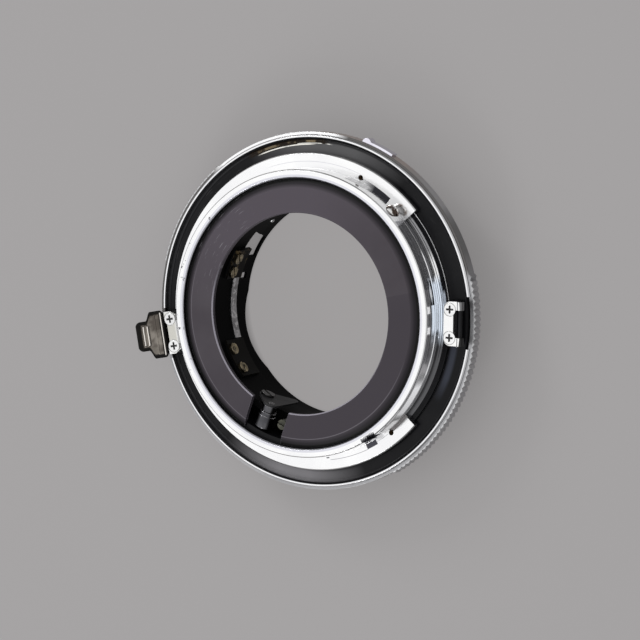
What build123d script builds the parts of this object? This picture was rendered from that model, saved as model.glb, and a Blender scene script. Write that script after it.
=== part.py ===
from build123d import *
import os
from math import atan2, cos, degrees, radians, sin, sqrt

os.makedirs("parts", exist_ok=True)

# Lens mount adapter. Millimetres and degrees. The optical axis is Z, the lens side is down, and heights
# count from the lens-side end of the sleeve. Angles turn from +X towards +Y, seen from the camera side.

# Fits and gaps
running_fit = 0.05  # radial clearance of a piece that turns on another
seat_gap = 0.02  # clearance round a fixed screw, pin or ring
free_gap = 0.35  # air between pieces that pass each other
cut_over = 1.0  # how far a cutting body reaches past the face that it cuts

# Heights of the base ring
rim_top = 15.0
channel_depth = 1.8
skirt_depth = 5.4

channel_floor = rim_top - channel_depth
skirt_bottom = rim_top - skirt_depth

# Lens sleeve. Its register bore takes the lens, and the radii of all the other rings build up from it.
register_bore = 27.6
register_depth = 6.0
register_step = 0.6  # how much narrower the sleeve is above the register
sleeve_wall = 0.75
shank_step = 0.23
sleeve_flange_width = 3.22
sleeve_flange = 1.2
sleeve_rim_rise = 2.5  # sleeve's camera-side edge above the rim
lever_gap_start = 232.5
lever_gap_end = 252.0
window_start = 124.0
window_end = 142.5
window_bottom = 0.8
window_top = 9.5
window_slant = 20.0  # lean of the window's first edge
slit_start = 151.6
slit_end = 155.0
slit_bottom = 2.2
slit_top = 6.0
scallop_angle = 184.0  # shallow round cut in the lens-side edge
scallop_radius = 26.0
scallop_depth = 2.1

sleeve_bore = register_bore - register_step
sleeve_radius = register_bore + sleeve_wall
sleeve_shank = sleeve_radius + shank_step
sleeve_flange_radius = sleeve_shank + sleeve_flange_width
sleeve_flange_top = channel_floor + sleeve_flange
sleeve_top = rim_top + sleeve_rim_rise

# Bayonet tube
tube_rise = 7.0  # tube end above the rim
ledge_gap = 0.4  # room between the sleeve's flange and the tube
ledge_width = 1.4
ledge_depth = 1.4
tube_wall = 2.1
collar_width = 2.5
flange_overhang = 1.35
flange_rise = 1.25  # flange face above the rim
flange_thickness = 1.45
flange_round = 0.25
foot_cove = 1.3  # cove between wall and collar in the cut-away
cutaway_start = -54.1
cutaway_end = 29.5
keyway_angle = -68.6
keyway_width = 4.2
keyway_depth = 1.1
peep_angles = (-63.5, 54.9)
peep_inset = 0.95  # distance of the two small holes from the tube wall
peep_radius = 0.65
peep_depth = 2.05
relief_span = 15.0  # arc of the recess between a small hole and the cut-away
relief_width = 1.0
relief_depth = 0.5
slot_angle = -1.5
slot_width = 6.0
slot_depth = 0.6
slot_height = 1.75

ledge_radius = sleeve_flange_radius + ledge_gap
tube_bore = ledge_radius + ledge_width
tube_radius = tube_bore + tube_wall
collar_radius = tube_radius + collar_width
flange_radius = collar_radius + flange_overhang
peep_ring = tube_radius + peep_inset
tube_top = rim_top + tube_rise
ledge_height = tube_top - ledge_depth
flange_top = rim_top + flange_rise
flange_bottom = flange_top - flange_thickness

# Base ring
channel_width = 4.65  # channel between the tube's collar and the rim
rim_width = 1.15
rim_overhang = 0.4  # how far the lip stands out over the grip ring
rim_lip = 0.45
rim_round = 0.3
skirt_foot = 0.8  # how far the skirt tapers in at its lens-side edge

base_bore = sleeve_shank + seat_gap
channel_radius = collar_radius + channel_width
rim_radius = channel_radius + rim_width
bearing_radius = rim_radius - rim_overhang

# Grip ring, its knurl and its stops
grip_height = 2.95
grip_wall = 0.95
grip_play = 0.05  # end play between lip and snap ring
grip_turn = 38.0
knurl_depth = 0.55
knurl_teeth = 188  # teeth that would fill a whole turn
knurl_stretches = ((-72.3, 39), (115.7, 20))  # first tooth's angle and number of teeth
knurl_chamfer = 0.3
snap_width = 0.45
snap_depth = 0.25  # depth of the snap ring's groove
snap_stand = 0.4  # how far the snap ring stands out of its groove
snap_gap = 8.0
snap_gap_angle = 90.0
stop_angle = 285.0
stop_radius = 0.5
stop_reach = 0.5  # how far the stop screw reaches into the base ring
stop_rise = 0.95  # stop screw's axis above the grip ring's lower edge
stop_side_gap = 0.25
stop_tip_gap = 0.15

grip_bore = bearing_radius + running_fit
grip_radius = grip_bore + grip_wall
knurl_radius = grip_radius + knurl_depth
grip_top = rim_top - rim_lip - grip_play
grip_bottom = grip_top - grip_height
knurl_pitch = 360 / knurl_teeth
stop_height = grip_bottom + stop_rise

# Index lug on the grip ring
index_start = 48.7
index_end = 58.5
index_stand = 0.65
index_bulge = 1.25

# Face ring in the channel
face_thickness = 0.8
face_cove = 0.75
cove_share = 0.3  # sag of the cove as a share of its width

face_top = channel_floor + face_thickness

# Bayonet stud on the tube wall
stud_angle = 34.9
stud_rise = 3.4  # stud axis above the rim
stud_radius = 1.9
stud_stand = 1.2
stud_skin = 0.6  # tube wall left behind the stud's shank

# Baffle plate
baffle_overhang = 2.05  # how far the plate reaches in over the sleeve
baffle_thickness = 1.3
baffle_bevel_width = 2.1
baffle_bevel_drop = 0.9
baffle_edge = 0.25
notch_angle = 238.4
notch_width = 11.0

baffle_bore = sleeve_bore - baffle_overhang
baffle_radius = tube_bore - free_gap

# Leaf spring, its clamps and the lens stop pin, on the sleeve's inner wall
spring_thickness = 0.4
spring_width = 2.6
spring_middle = 8.8  # height of the strip's middle
spring_start = 135.0
spring_end = 209.0
spring_root_upper = 152.5  # where the wide upper end stops
spring_root_lower = 187.0  # where the wide lower end starts
clamp_thickness = 0.5
clamp_margin = 1.7  # clamp's edge above its screws
upper_screw_angles = (140.0, 148.4)
upper_screw_height = 12.7
lower_screw_angles = (192.3, 204.2)
lower_screw_height = 14.0
pin_angle = 115.0
pin_rise = 0.9  # pin's axis above the register's end
pin_radius = 0.6
pin_stand = 0.45

pin_height = register_depth + pin_rise

# Lever on a pivot beside the baffle's notch: sideways and height are measured from the lever's plane axis
lever_angle = 236.0
lever_inset = 0.25  # how far the arm stands inside the baffle's bore
lever_thickness = 0.55
lever_turn = 15.0
pivot_side = -3.7
pivot_height = 15.7
pivot_boss = 2.0
pivot_radius = 0.8
pivot_head_radius = 1.75
pivot_head = 0.5
pivot_slot_turn = 30.0
roller_height = 19.7
roller_boss = 1.9
roller_radius = 2.2
roller_gap = 1.75  # room between the arm and the roller
roller_clear = 1.1  # room between the roller and the tube's ledge
roller_step = 0.15
roller_pin_radius = 0.8
roller_pin_head = 1.25
roller_pin_end = 0.55
roller_pin_round = 0.44
prong_side = 1.2
prong_height = 10.0
prong_radius = 1.0
lever_stop_side = 5.0
lever_stop_inset = 1.3  # distance of the stop post's axis from the sleeve's bore
lever_stop_radius = 1.25
lever_stop_top = 20.2
wire_bend = 1.15  # radius of the return spring's bend over the pivot
wire_radius = 0.2
wire_leg = 4.6
wire_anchor_leg = 0.8
wire_anchor_angle = 120.0

lever_inner = baffle_bore - lever_inset
lever_outer = lever_inner + lever_thickness
lever_stop_distance = sleeve_bore + lever_stop_inset

# Hinged clips: blocks, plates, pins and the finger tab
clip_angles = {"left": 178.0, "right": -13.1}
plate_rise = 3.3  # plate's face above the rim
plate_thickness = 1.3
plate_setback = 0.1  # distance of the plate from the tube's collar, seen from above
plate_width = 10.8
plate_corner = 1.8
hinge_inset = 0.35  # hinge axis inside the rim
hinge_pin_radius = 0.5
arm_knuckle_radius = 0.9
arm_gap = 6.7  # opening between the two arms
arm_reach = 1.6
clip_screw_inset = 1.7  # distance of the clip screws from the tube's collar
clip_screw_spacing = 6.9
pocket_width = 12.8
pocket_reach = 0.95
pocket_depth = 2.8
tab_thickness = 1.3
tab_rest = 25.0
tab_lift = 0.75  # how far the tab's plate lies above the hinge axis
tab_hood = 0.4  # how far the tab reaches back over the hinge axis
tab_hood_thickness = 0.3
tab_bar_width = 12.0
tab_bar_start = 1.35  # distances from the hinge axis
tab_bar_end = 3.4
tab_stem_width = 7.6
tab_length = 7.0
tab_corner = 0.9
tab_recess = 0.35
tab_border = 1.1
tab_ridge_radius = 0.3
tab_ridge_pitch = 1.0
tab_ridge_gap = 0.2  # room at each end of a ridge

hinge_radius = channel_radius - hinge_inset
plate_inner = collar_radius + plate_setback
plate_top = rim_top + plate_rise
plate_bottom = plate_top - plate_thickness
hinge_height = plate_top - plate_thickness / 2
arm_root = hinge_radius - arm_reach
pocket_inner = hinge_radius - pocket_reach
block_inner = collar_radius + free_gap
block_outer = hinge_radius - arm_knuckle_radius - free_gap
block_room = plate_width + 2 * free_gap
clip_screw_ring = collar_radius + clip_screw_inset

# Screws
clip_screw_head = 1.55
clip_screw_shank = 0.75
clip_screw_sink = 0.9
clip_screw_length = 7.6
tube_screw_head = 1.5
tube_screw_shank = 0.8
tube_screw_sink = 0.8
tube_screw_length = 5.6
tube_screw_angles = (40, 130, 220, 310)
sleeve_screw_head = 1.15
sleeve_screw_shank = 0.6
sleeve_screw_sink = 0.6
sleeve_screw_length = 4.2
sleeve_screw_angles = (20, 110, 200, 290)
clamp_screw_head_radius = 1.45
clamp_screw_head = 0.6
clamp_screw_shank = 0.65
clamp_screw_length = 1.9
head_edge = 0.1  # straight edge of a countersunk head
recess_width = 0.5
recess_depth = 0.45
recess_reach = 0.62  # recess half length as a share of the head radius

clip_screw = (clip_screw_head, clip_screw_shank, clip_screw_sink, clip_screw_length)
tube_screw = (tube_screw_head, tube_screw_shank, tube_screw_sink, tube_screw_length)
sleeve_screw = (sleeve_screw_head, sleeve_screw_shank, sleeve_screw_sink, sleeve_screw_length)
tube_screw_ring = (ledge_radius + collar_radius) / 2
sleeve_screw_ring = (sleeve_shank + sleeve_flange_radius) / 2


def turned(*corners):
    """Ring or disc turned about the optical axis from its half section of (radius, height) corners."""
    return revolve(Plane.XZ * make_face(Polyline(*corners, close=True)), Axis.Z)


def sector(inner, outer, start, end, bottom, top):
    """Piece of a flat ring between two radii, two angles and two heights."""
    span = end - start
    outside = CenterArc((0, 0), outer, start, span)
    inside = CenterArc((0, 0), inner, start, span)
    sides = [Line(inside @ 0, outside @ 0), Line(inside @ 1, outside @ 1)]
    return Pos(0, 0, bottom) * extrude(make_face([outside, inside] + sides), top - bottom)


def turn(shape, angle):
    """A shape made at angle zero, carried round the optical axis."""
    return Rot(0, 0, angle) * shape


def radial_plane(angle, height):
    """Plane whose normal points outwards at an angle, with its origin on the optical axis."""
    outward = (cos(radians(angle)), sin(radians(angle)), 0)
    sideways = (-sin(radians(angle)), cos(radians(angle)), 0)
    return Plane(origin=(0, 0, height), x_dir=sideways, z_dir=outward)


def radial_rod(angle, height, radius, inner, outer):
    """Round rod that points outwards between two distances from the optical axis."""
    rod = Pos(0, 0, inner) * Cylinder(radius, outer - inner, align=(Align.CENTER, Align.CENTER, Align.MIN))
    return radial_plane(angle, height) * rod


def rod(radius, bottom, top):
    """Upright round rod."""
    return Pos(0, 0, bottom) * Cylinder(radius, top - bottom, align=(Align.CENTER, Align.CENTER, Align.MIN))


def cross_recess(head_radius):
    """Two crossed bars that sink from height zero into a screw head."""
    bar = Box(2 * recess_reach * head_radius, recess_width, 2 * recess_depth)
    return bar + Rot(0, 0, 90) * bar


def sunk_body(size, gap):
    """Countersunk screw body with its face at height zero, grown by a gap for its hole."""
    head, shank, sink, length = size
    edge = head + gap
    wall = shank + gap
    foot = -length - gap
    return turned((0, gap), (edge, gap), (edge, -head_edge), (wall, -sink), (wall, foot), (0, foot))


def sunk_screw(size):
    """Countersunk screw with a cross recess."""
    return sunk_body(size, 0) - cross_recess(size[0])


def places(shape, ring, angles, height):
    """Copies of a shape on a circle round the optical axis."""
    return [turn(Pos(ring, 0, height) * shape, angle) for angle in angles]


def group(shapes):
    """Separate equal solids kept together as one node."""
    return Compound(children=[shape.solid() for shape in shapes])


def save(shape, name):
    """Write one node."""
    export_step(shape, f"parts/{name}.step")


# Clip parts are made at angle zero, with X outwards and Y along the hinge.
clip_spots = [Pos(clip_screw_ring, side * clip_screw_spacing / 2, plate_top) for side in (-1, 1)]
clip_holes = [spot * sunk_body(clip_screw, seat_gap) for spot in clip_spots]
pocket = Pos((pocket_inner + knurl_radius) / 2, 0, rim_top) * Box(
    knurl_radius - pocket_inner, pocket_width, 2 * pocket_depth)


def at_clips(shapes):
    """Shapes of one clip, carried to both clips."""
    return [turn(shape, angle) for shape in shapes for angle in clip_angles.values()]


# Base ring: rim, channel, bearing for the grip ring, skirt and bore
base = turned(
    (base_bore, skirt_bottom),
    (bearing_radius - skirt_foot, skirt_bottom),
    (bearing_radius, skirt_bottom + skirt_foot),
    (bearing_radius, rim_top - rim_lip),
    (rim_radius, rim_top - rim_lip),
    (rim_radius, rim_top - rim_round),
    (rim_radius - rim_round, rim_top),
    (channel_radius + rim_round, rim_top),
    (channel_radius, rim_top - rim_round),
    (channel_radius, channel_floor),
    (base_bore, channel_floor),
)
snap_top = grip_bottom - grip_play
base -= turned(
    (bearing_radius - snap_depth, snap_top),
    (bearing_radius + cut_over, snap_top),
    (bearing_radius + cut_over, snap_top - snap_width - seat_gap),
    (bearing_radius - snap_depth, snap_top - snap_width - seat_gap),
)
stop_clear = stop_radius + stop_side_gap
stop_swing = degrees(stop_clear / bearing_radius)
stop_floor = bearing_radius - stop_reach - stop_tip_gap
base -= sector(
    stop_floor, bearing_radius + cut_over, stop_angle - stop_swing, stop_angle + grip_turn + stop_swing,
    stop_height - stop_clear, stop_height + stop_clear)
base -= at_clips([pocket] + clip_holes)
tube_drills = places(
    Rot(180, 0, 0) * sunk_body(tube_screw, seat_gap), tube_screw_ring, tube_screw_angles, skirt_bottom)
base -= tube_drills
sleeve_drills = places(
    sunk_body(sleeve_screw, seat_gap), sleeve_screw_ring, sleeve_screw_angles, sleeve_flange_top)
base -= sleeve_drills
save(base, "base_ring")

# Snap ring: open ring that keeps the grip ring up against the lip
snap_inner = bearing_radius - snap_depth + seat_gap
snap_outer = bearing_radius + snap_stand
snap_start = snap_gap_angle + snap_gap / 2
snap_end = snap_start + 360 - snap_gap
snap = sector(snap_inner, snap_outer, snap_start, snap_end, snap_top - snap_width, snap_top)
save(snap, "snap_ring")


def knurl_outline():
    """Outline of the grip ring: zigzag teeth on the knurled stretches and arcs on the smooth ones."""
    lines = []
    stretches = len(knurl_stretches)
    for index, (start, teeth) in enumerate(knurl_stretches):
        corners = [
            (knurl_radius if half % 2 else grip_radius, start + half * knurl_pitch / 2)
            for half in range(2 * teeth + 1)
        ]
        lines.append(Polyline(*[(r * cos(radians(a)), r * sin(radians(a))) for r, a in corners]))
        finish = start + teeth * knurl_pitch
        following = knurl_stretches[(index + 1) % stretches][0] + (360 if index + 1 == stretches else 0)
        lines.append(CenterArc((0, 0), grip_radius, finish, following - finish))
    return make_face(lines)


# Grip ring: knurled stretches cut from a blank with bevelled edges
knurl = Pos(0, 0, grip_bottom) * extrude(knurl_outline(), grip_height)
bevel_radius = knurl_radius - knurl_chamfer
blank = turned(
    (grip_bore, grip_bottom),
    (bevel_radius, grip_bottom),
    (knurl_radius + seat_gap, grip_bottom + knurl_chamfer),
    (knurl_radius + seat_gap, grip_top - knurl_chamfer),
    (bevel_radius, grip_top),
    (grip_bore, grip_top),
)
grip = blank & knurl
stop_hole = stop_radius + seat_gap
grip -= radial_rod(stop_angle, stop_height, stop_hole, grip_bore - cut_over, grip_radius + cut_over)
save(grip, "grip_ring")

# Stop screw: set flush in the grip ring, its tip runs in the base ring's arc groove
stop_face = sqrt(grip_radius**2 - stop_radius**2) - seat_gap
stop_screw = radial_rod(stop_angle, stop_height, stop_radius, bearing_radius - stop_reach, stop_face)
stop_screw -= radial_plane(stop_angle, stop_height) * Pos(0, 0, stop_face) * Box(
    2 * stop_radius + cut_over, recess_width / 2, 2 * recess_depth)
save(stop_screw, "grip_stop_screw")

# Index lug: pad with a round end on the grip ring's smooth stretch
index_inner = grip_radius + seat_gap
index_low = grip_bottom + knurl_chamfer
index_high = grip_top - knurl_chamfer
index_lug = sector(index_inner, grip_radius + index_stand, index_start, index_end, index_low, index_high)
index_lug += turn(Pos(index_inner, 0, 0) * rod(index_bulge, index_low, index_high), index_end)
index_lug -= rod(index_inner, index_low - cut_over, index_high + cut_over)
save(index_lug, "index_lug")

# Face ring: flat ring with a cove that rises to the rim, cut out at the clips' pockets
face_inner = collar_radius + seat_gap
face_outer = channel_radius - seat_gap
cove_start = face_outer - face_cove
cove_top = rim_top - rim_round - seat_gap
cove_sag = face_cove * cove_share
cove = ThreePointArc(
    (cove_start, face_top),
    ((cove_start + face_outer) / 2 + cove_sag, (face_top + cove_top) / 2 - cove_sag),
    (face_outer, cove_top))
face_edges = Polyline(
    (face_outer, cove_top), (face_outer, channel_floor), (face_inner, channel_floor),
    (face_inner, face_top), (cove_start, face_top))
face = revolve(Plane.XZ * make_face([cove, face_edges]), Axis.Z)
face -= at_clips([pocket] + clip_holes)
save(face, "face_ring")

# Bayonet tube: foot, flange, wall and the ledge for the baffle
tube = turned(
    (ledge_radius, channel_floor),
    (collar_radius, channel_floor),
    (collar_radius, flange_bottom),
    (flange_radius, flange_bottom),
    (flange_radius, flange_top - flange_round),
    (flange_radius - flange_round, flange_top),
    (tube_radius, flange_top),
    (tube_radius, tube_top - flange_round),
    (tube_radius - flange_round, tube_top),
    (tube_bore + flange_round, tube_top),
    (tube_bore, tube_top - flange_round),
    (tube_bore, ledge_height),
    (ledge_radius, ledge_height),
)
cove_centre = (tube_radius + foot_cove, flange_bottom + foot_cove)
foot_arc = CenterArc(cove_centre, foot_cove, 180, 90)
cutaway_edges = Polyline(
    foot_arc @ 1,
    (flange_radius + cut_over, flange_bottom),
    (flange_radius + cut_over, flange_top + cut_over),
    (tube_radius, flange_top + cut_over),
    foot_arc @ 0)
cutaway_section = Plane.XZ * make_face([foot_arc, cutaway_edges])
tube -= turn(revolve(cutaway_section, Axis.Z, cutaway_end - cutaway_start), cutaway_start)
block_notch = Box(
    2 * flange_overhang, block_room, 2 * flange_thickness, align=(Align.MIN, Align.CENTER, Align.CENTER))
tube -= turn(Pos(collar_radius, 0, flange_top) * block_notch, clip_angles["left"])
keyway = Box(2 * keyway_depth, keyway_width, 2 * (tube_top - flange_top))
tube -= turn(Pos(tube_radius, 0, tube_top) * keyway, keyway_angle)
wall_slot = Box(2 * slot_depth, slot_width, slot_height)
tube -= turn(Pos(tube_radius, 0, tube_top - tube_rise / 2) * wall_slot, slot_angle)
for angle, way in zip(peep_angles, (1, -1)):
    peep_hole = rod(peep_radius, flange_top - peep_depth, flange_top + cut_over)
    tube -= turn(Pos(peep_ring, 0, 0) * peep_hole, angle)
    arc = sorted((angle, angle + way * relief_span))
    relief_floor = flange_top - relief_depth
    tube -= sector(tube_radius, tube_radius + relief_width, *arc, relief_floor, flange_top + cut_over)
tube -= tube_drills
stud_height = rim_top + stud_rise
stud_seat = sqrt(tube_radius**2 - stud_radius**2)
stud_root = tube_bore + stud_skin
stud_drills = ((stud_radius / 2, stud_root), (stud_radius, stud_seat))
for radius, depth in stud_drills:
    tube -= radial_rod(stud_angle, stud_height, radius + seat_gap, depth - seat_gap, tube_radius + cut_over)
save(tube, "bayonet_tube")

# Bayonet stud: low dome on a shank, let into the tube wall
dome_radius = (stud_radius**2 + stud_stand**2) / (2 * stud_stand)
dome_top = tube_radius + stud_stand
stud = rod(stud_radius, stud_seat, dome_top) & Pos(0, 0, dome_top - dome_radius) * Sphere(dome_radius)
stud += rod(stud_radius / 2, stud_root, stud_seat)
save(radial_plane(stud_angle, stud_height) * stud, "bayonet_stud")

# Tube screws: from the lens side through the base ring into the tube's foot
upward_screw = Rot(180, 0, 0) * sunk_screw(tube_screw)
tube_screws = places(upward_screw, tube_screw_ring, tube_screw_angles, skirt_bottom)
save(group(tube_screws), "tube_screws")

# Baffle plate: washer with a bevelled edge, open at the lever's notch
baffle_top = ledge_height + baffle_thickness
baffle = turned(
    (baffle_bore, ledge_height),
    (baffle_radius, ledge_height),
    (baffle_radius, baffle_top - baffle_bevel_drop),
    (baffle_radius - baffle_bevel_width, baffle_top),
    (baffle_bore + baffle_edge, baffle_top),
    (baffle_bore, baffle_top - baffle_edge),
)
baffle -= turn(Pos((baffle_bore + baffle_radius) / 2, 0, baffle_top) * Box(
    baffle_radius - baffle_bore + 2 * cut_over, notch_width, 4 * baffle_thickness), notch_angle)
save(baffle, "baffle_plate")

# Lens sleeve: register bore, thin wall with windows, shank in the base ring, flange and camera-side edge
sleeve = turned(
    (register_bore, 0),
    (sleeve_radius, 0),
    (sleeve_radius, skirt_bottom),
    (sleeve_shank, skirt_bottom),
    (sleeve_shank, channel_floor),
    (sleeve_flange_radius, channel_floor),
    (sleeve_flange_radius, sleeve_flange_top),
    (sleeve_shank, sleeve_flange_top),
    (sleeve_shank, sleeve_top),
    (sleeve_bore, sleeve_top),
    (sleeve_bore, register_depth),
    (register_bore, register_depth),
)
cut_inner = sleeve_bore - cut_over
cut_outer = sleeve_radius + cut_over
window = sector(cut_inner, cut_outer, window_start, window_end, window_bottom, window_top)
window_edge = Box(
    4 * window_top, 4 * window_top, 4 * sleeve_radius, align=(Align.MAX, Align.CENTER, Align.CENTER))
sleeve -= window - radial_plane(window_start, window_top) * Rot(0, 0, window_slant) * window_edge
sleeve -= sector(cut_inner, cut_outer, slit_start, slit_end, slit_bottom, slit_top)
sleeve -= sector(
    cut_inner, sleeve_shank + cut_over, lever_gap_start, lever_gap_end,
    sleeve_flange_top, sleeve_top + cut_over)
sleeve -= radial_rod(scallop_angle, scallop_depth - scallop_radius, scallop_radius, 0, cut_outer)
sleeve -= sleeve_drills
clamp_spots = [(angle, upper_screw_height) for angle in upper_screw_angles]
clamp_spots += [(angle, lower_screw_height) for angle in lower_screw_angles]
shank_end = sleeve_bore + clamp_screw_length - spring_thickness - clamp_thickness
clamp_drills = [
    radial_rod(
        angle, height, clamp_screw_shank + seat_gap, sleeve_bore - clamp_screw_length, shank_end + seat_gap)
    for angle, height in clamp_spots
]
sleeve -= clamp_drills
sleeve -= radial_rod(pin_angle, pin_height, pin_radius + seat_gap, cut_inner, cut_outer)

# Lever's plane: X sideways, Y up and Z outwards from the optical axis
lever_plane = radial_plane(lever_angle, 0)
pivot_end = sqrt(sleeve_shank**2 - pivot_side**2) - free_gap


def lever_rod(side, height, radius, inner, outer):
    """Rod across the lever's plane between two distances from the optical axis."""
    return lever_plane * Pos(side, height, 0) * rod(radius, inner, outer)


sleeve -= lever_rod(pivot_side, pivot_height, pivot_radius + seat_gap, lever_inner, pivot_end + seat_gap)
save(sleeve, "lens_sleeve")

# Sleeve screws: through the sleeve's flange into the base ring
sleeve_screws = places(sunk_screw(sleeve_screw), sleeve_screw_ring, sleeve_screw_angles, sleeve_flange_top)
save(group(sleeve_screws), "sleeve_screws")

# Leaf spring: strip along the sleeve wall, with wide ends under the clamps
spring_outer = sleeve_bore - seat_gap
spring_inner = spring_outer - spring_thickness
spring_low = spring_middle - spring_width / 2
spring_high = spring_middle + spring_width / 2
spring = sector(spring_inner, spring_outer, spring_start, spring_end, spring_low, spring_high)
upper_root = (spring_start, spring_root_upper, upper_screw_height)
lower_root = (spring_root_lower, spring_end, lower_screw_height)
for start, end, height in (upper_root, lower_root):
    spring += sector(spring_inner, spring_outer, start, end, spring_low, height + clamp_margin)
spring -= clamp_drills
save(spring, "leaf_spring")

# Clamps: curved pads that cover the spring's ends, each under two screws
clamp_outer = spring_inner - seat_gap
clamp_inner = clamp_outer - clamp_thickness
clamp_ends = (("upper", *upper_root), ("lower", *lower_root))
for name, start, end, height in clamp_ends:
    clamp = sector(clamp_inner, clamp_outer, start, end, spring_low, height + clamp_margin)
    save(clamp - clamp_drills, f"spring_clamp_{name}")

head_seat = sqrt(clamp_inner**2 - clamp_screw_head_radius**2) - seat_gap
head_face = head_seat - clamp_screw_head
clamp_screws = []
for angle, height in clamp_spots:
    screw = radial_rod(angle, height, clamp_screw_head_radius, head_face, head_seat)
    screw += radial_rod(angle, height, clamp_screw_shank, head_face, shank_end)
    slot = Box(2 * clamp_screw_head_radius + cut_over, recess_width, 2 * recess_depth * clamp_screw_head)
    clamp_screws.append(screw - radial_plane(angle, height) * Pos(0, 0, head_face) * Rot(0, 0, angle) * slot)
save(group(clamp_screws), "clamp_screws")

# Lens stop pin: round-nosed pin through the sleeve wall
nose = sleeve_bore - pin_stand
stop_pin = radial_rod(pin_angle, pin_height, pin_radius, nose + pin_radius, sleeve_radius)
stop_pin += radial_plane(pin_angle, pin_height) * Pos(0, 0, nose + pin_radius) * Sphere(pin_radius)
save(stop_pin, "lens_stop_pin")

# Lever: flat arm from the roller past the pivot to a prong on the lens side
pivot_disc = Pos(pivot_side, pivot_height) * Circle(pivot_boss)
roller_disc = Pos(0, roller_height) * Circle(roller_boss)
prong_disc = Pos(prong_side, prong_height) * Circle(prong_radius)
arm_outline = make_hull((pivot_disc + roller_disc).edges()) + make_hull((pivot_disc + prong_disc).edges())
arm = lever_plane * Pos(0, 0, lever_inner) * extrude(arm_outline, lever_thickness)
arm_near = lever_inner - cut_over
arm_far = lever_outer + cut_over
arm -= lever_rod(pivot_side, pivot_height, pivot_radius + running_fit, arm_near, arm_far)
arm -= lever_rod(0, roller_height, roller_pin_radius + seat_gap, arm_near, arm_far)
save(arm, "lever_arm")

# Pivot screw: slotted head, and a plain shank that the arm turns on
pivot_under = lever_inner - running_fit
pivot = lever_rod(pivot_side, pivot_height, pivot_radius, pivot_under, pivot_end)
pivot += lever_rod(pivot_side, pivot_height, pivot_head_radius, pivot_under - pivot_head, pivot_under)
pivot_slot = Rot(0, 0, pivot_slot_turn) * Box(2 * pivot_head_radius + cut_over, recess_width, pivot_head)
pivot -= lever_plane * Pos(pivot_side, pivot_height, pivot_under - pivot_head) * pivot_slot
save(pivot, "lever_pivot_screw")

# Roller with a stepped collar, on a pin riveted in the arm
roller_start = lever_outer + roller_gap
roller_end = ledge_radius - roller_clear
collar_end = roller_start + (roller_end - roller_start) / 4
pin_shoulder = lever_outer + seat_gap
pin_head_seat = roller_end + 2 * running_fit
roller_pin = lever_rod(0, roller_height, roller_pin_radius, lever_inner, pin_head_seat)
shoulder_end = roller_start - running_fit
roller_pin += lever_rod(0, roller_height, roller_boss - roller_step, pin_shoulder, shoulder_end)
pin_head = rod(roller_pin_head, 0, roller_pin_end)
pin_head = fillet(pin_head.edges().sort_by(Axis.Z)[-1], roller_pin_round)
roller_pin += lever_plane * Pos(0, roller_height, pin_head_seat) * pin_head
save(roller_pin, "roller_pin")

roller = lever_rod(0, roller_height, roller_radius - roller_step, roller_start, collar_end)
roller += lever_rod(0, roller_height, roller_radius, collar_end, roller_end)
roller_hole = roller_pin_radius + running_fit
roller -= lever_rod(0, roller_height, roller_hole, roller_start - cut_over, roller_end + cut_over)
save(roller, "lever_roller")

# Lever stop: slotted post on the sleeve's flange
stop_spot = lever_plane * Pos(lever_stop_side, 0, lever_stop_distance)
stop_post = Pos(stop_spot.position) * rod(lever_stop_radius, sleeve_flange_top, lever_stop_top)
stop_post -= Pos(stop_spot.position) * Pos(0, 0, lever_stop_top) * Rot(0, 0, lever_angle) * Box(
    recess_width, 2 * lever_stop_radius + cut_over, 2 * recess_depth)
save(stop_post, "lever_stop")

# Return spring: wire bent over the pivot, one leg along the prong and one against the sleeve
wire_depth = lever_outer + wire_radius + running_fit
leg_angle = degrees(atan2(prong_side - pivot_side, pivot_height - prong_height))
bend = CenterArc((0, 0), wire_bend, leg_angle, wire_anchor_angle - leg_angle)
long_leg = Line(bend @ 0 - (bend % 0) * wire_leg, bend @ 0)
anchor_leg = Line(bend @ 1, bend @ 1 + (bend % 1) * wire_anchor_leg)
wire_path = Wire([long_leg, bend, anchor_leg])
wire_section = Plane(origin=wire_path @ 0, z_dir=wire_path % 0) * Circle(wire_radius)
return_spring = lever_plane * Pos(pivot_side, pivot_height, wire_depth) * sweep(wire_section, path=wire_path)
save(return_spring, "lever_spring")

# Clips: a block on the face ring, a plate with two arms, screws and the hinge pin
block_height = plate_bottom - face_top
clip_block = Pos((block_inner + block_outer) / 2, 0, face_top + block_height / 2) * Box(
    block_outer - block_inner, plate_width, block_height)
clip_block -= clip_holes

arm_width = (plate_width - arm_gap) / 2
plate_outline = Pos((plate_inner + hinge_radius) / 2, 0) * Rectangle(hinge_radius - plate_inner, plate_width)
inner_corners = plate_outline.vertices().group_by(Axis.X)[0]
plate_outline = fillet(inner_corners, plate_corner)
plate_outline -= Pos((arm_root + rim_radius) / 2, 0) * Rectangle(rim_radius - arm_root, arm_gap)
clip_plate = Pos(0, 0, plate_bottom) * extrude(plate_outline, plate_thickness)
hinge_line = Plane(origin=(hinge_radius, 0, hinge_height), x_dir=(0, 0, 1), z_dir=(0, 1, 0))
for side in (-1, 1):
    middle = side * (arm_gap + arm_width) / 2
    clip_plate += hinge_line * Pos(0, 0, middle) * Cylinder(arm_knuckle_radius, arm_width)
clip_plate -= hinge_line * Cylinder(hinge_pin_radius + seat_gap, plate_width + cut_over)
clip_plate -= clip_holes
clip_screws = [spot * sunk_screw(clip_screw) for spot in clip_spots]
hinge_pin = hinge_line * Cylinder(hinge_pin_radius, plate_width)

for name, angle in clip_angles.items():
    save(turn(clip_block, angle), f"{name}_hinge_block")
    save(turn(clip_plate, angle), f"{name}_hinge_plate")
    save(turn(hinge_pin, angle), f"{name}_hinge_pin")
    save(group([turn(screw, angle) for screw in clip_screws]), f"{name}_hinge_screws")

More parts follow.
